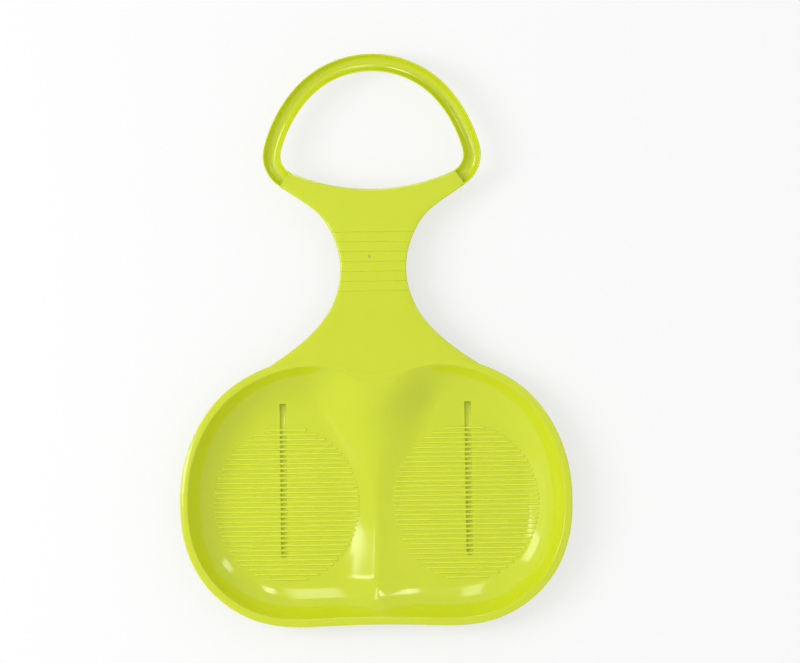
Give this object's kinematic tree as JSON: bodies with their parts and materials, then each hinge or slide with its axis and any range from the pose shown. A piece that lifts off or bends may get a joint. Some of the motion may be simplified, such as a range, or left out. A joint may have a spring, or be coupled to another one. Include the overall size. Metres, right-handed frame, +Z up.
{
  "type": "slide pad",
  "caption": "Dished plastic seat pad with a waisted flat neck and a D-shaped hand loop, sat on to slide down a grass or snow slope.",
  "frame": {"origin": "on the ground that the runners stand on, under the middle of the whole length and width", "axes": "+X across the seat to the right, +Y from the seat towards the handle, +Z up"},
  "size_m": [0.38, 0.5599, 0.032],
  "materials": {
    "lime_plastic": "semi-gloss moulded polyethylene"
  },
  "bodies": {
    "root": {"left_hollow": "lime_plastic", "seat_ridge": "lime_plastic", "right_hollow": "lime_plastic", "rim_lip": "lime_plastic", "neck_plate": "lime_plastic", "handle_hoop": "lime_plastic", "left_seat_ribs": "lime_plastic", "right_seat_ribs": "lime_plastic", "left_runner": "lime_plastic", "right_runner": "lime_plastic"}
  },
  "joints": []
}
